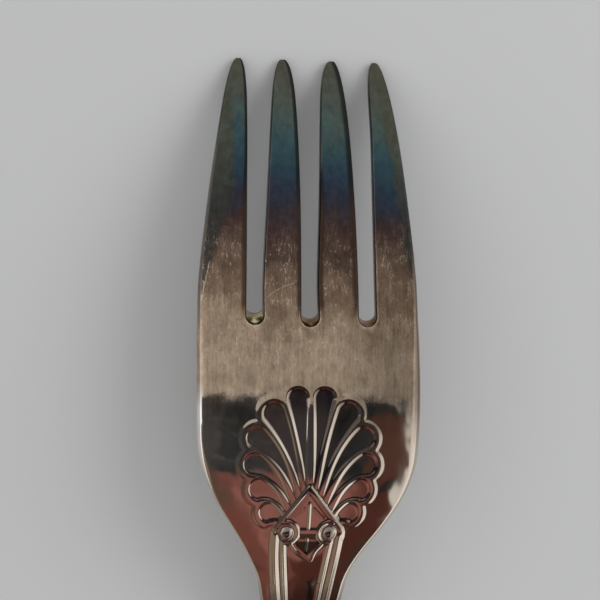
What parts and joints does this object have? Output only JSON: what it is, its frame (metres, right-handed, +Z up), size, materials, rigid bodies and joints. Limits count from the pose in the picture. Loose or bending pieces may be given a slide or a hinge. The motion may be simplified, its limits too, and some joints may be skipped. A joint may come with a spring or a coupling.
{
  "type": "salad fork",
  "caption": "One-piece silver-plated salad fork lying face down, with slim tines, a palmette and scroll ornament on the heel of its back, and reeds along its handle.",
  "frame": {"origin": "middle of the footprint, on the surface that the fork lies on", "axes": "+Y along the fork towards the tine tips, +Z up out of the fork's back, X across"},
  "size_m": [0.0272, 0.158, 0.0146],
  "materials": {
    "silver_plate": "polished silver plate, worn and tarnished"
  },
  "bodies": {
    "root": {"fork": "silver_plate"}
  },
  "joints": []
}
